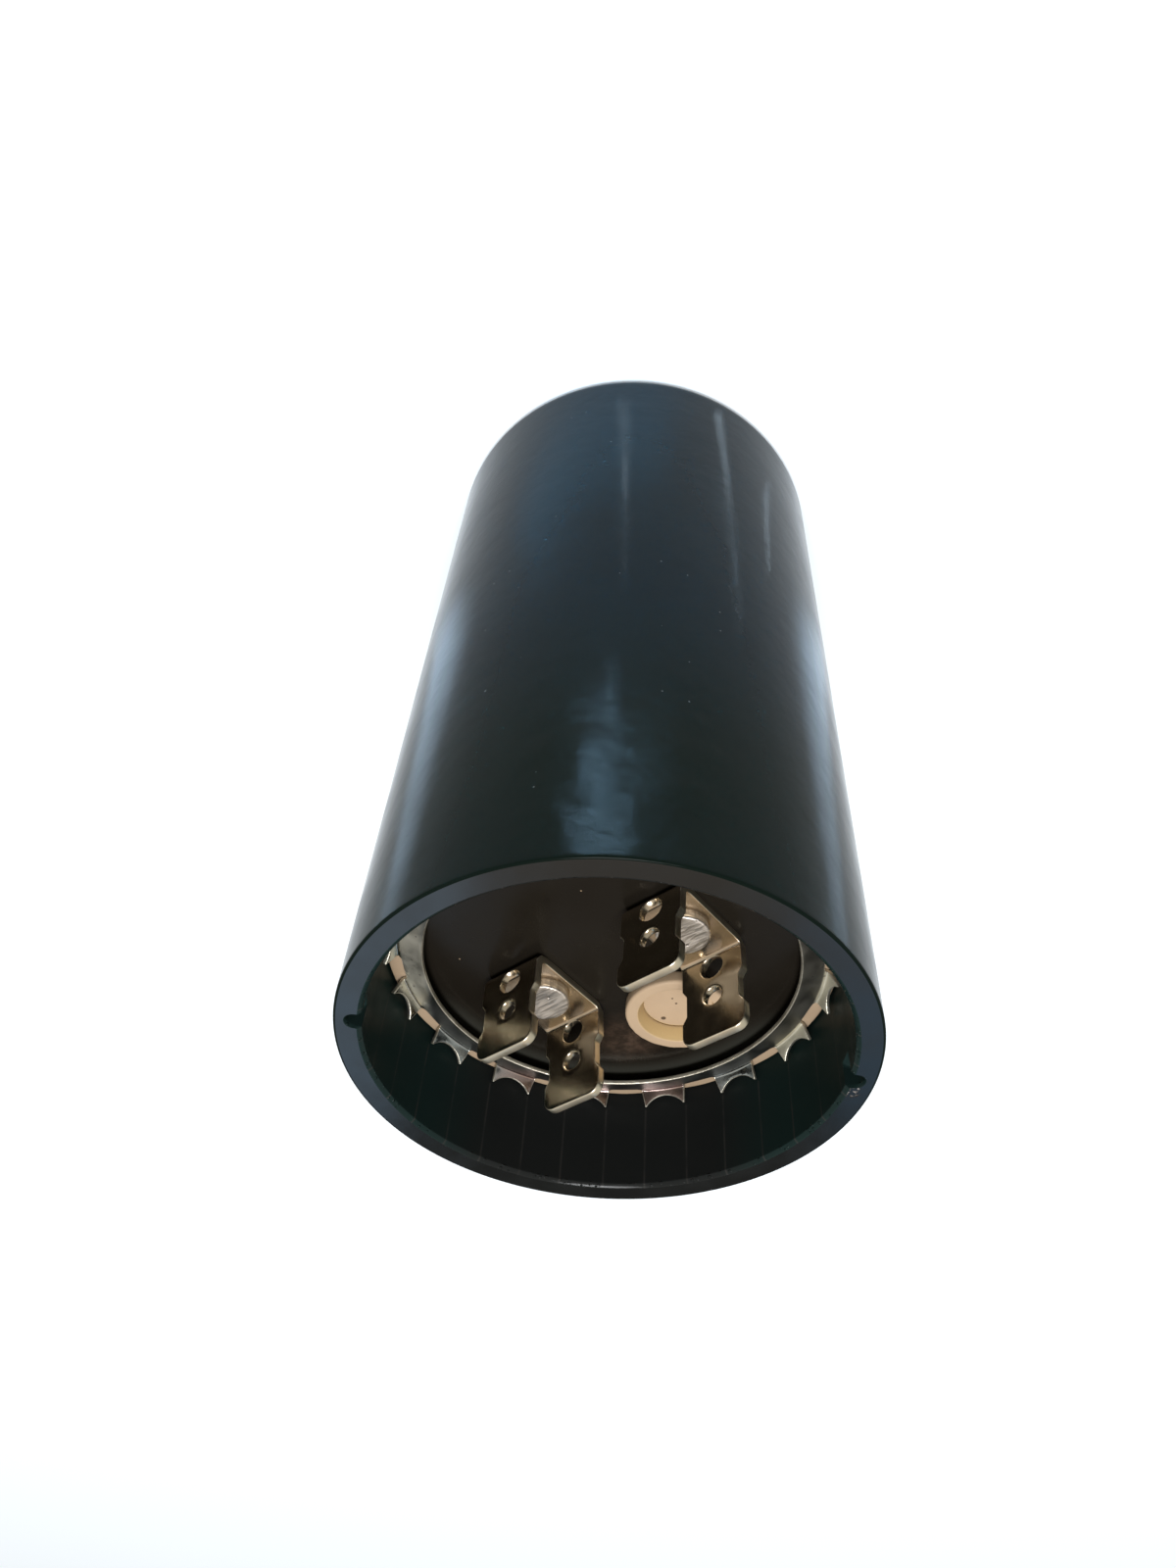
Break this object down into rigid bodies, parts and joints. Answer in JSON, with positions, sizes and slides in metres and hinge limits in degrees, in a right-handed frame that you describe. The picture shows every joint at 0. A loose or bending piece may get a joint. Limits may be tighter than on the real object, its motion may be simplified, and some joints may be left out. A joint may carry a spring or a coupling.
{
  "type": "motor start capacitor",
  "caption": "Cylindrical motor start capacitor: a moulded black cup with a recessed header, folded push-on terminals, a rubber vent plug and a toothed retaining ring.",
  "frame": {"origin": "centre of the closed end's outer face", "axes": "+Z along the case's axis from the closed end to the open rim, +X along the line of terminals, vent plug near +Y"},
  "size_m": [0.046, 0.046, 0.0857],
  "materials": {
    "moulded_case": "glossy black phenolic moulding",
    "moulded_header": "glossy black phenolic disc",
    "tan_rubber": "matt tan rubber",
    "plated_ring": "bright plated spring steel",
    "plated_terminal": "tin plated brass sheet",
    "rivet_metal": "brushed aluminium",
    "lead_metal": "plain aluminium strip",
    "winding_roll": "wound foil and paper"
  },
  "bodies": {
    "root": {"case": "moulded_case", "header_disc": "moulded_header", "gasket": "tan_rubber", "retaining_ring": "plated_ring", "vent_plug": "tan_rubber", "terminal_a": "plated_terminal", "terminal_b": "plated_terminal", "rivet_a": "rivet_metal", "rivet_b": "rivet_metal", "lead_a": "lead_metal", "lead_b": "lead_metal", "washer_a": "rivet_metal", "washer_b": "rivet_metal", "winding": "winding_roll"}
  },
  "joints": []
}
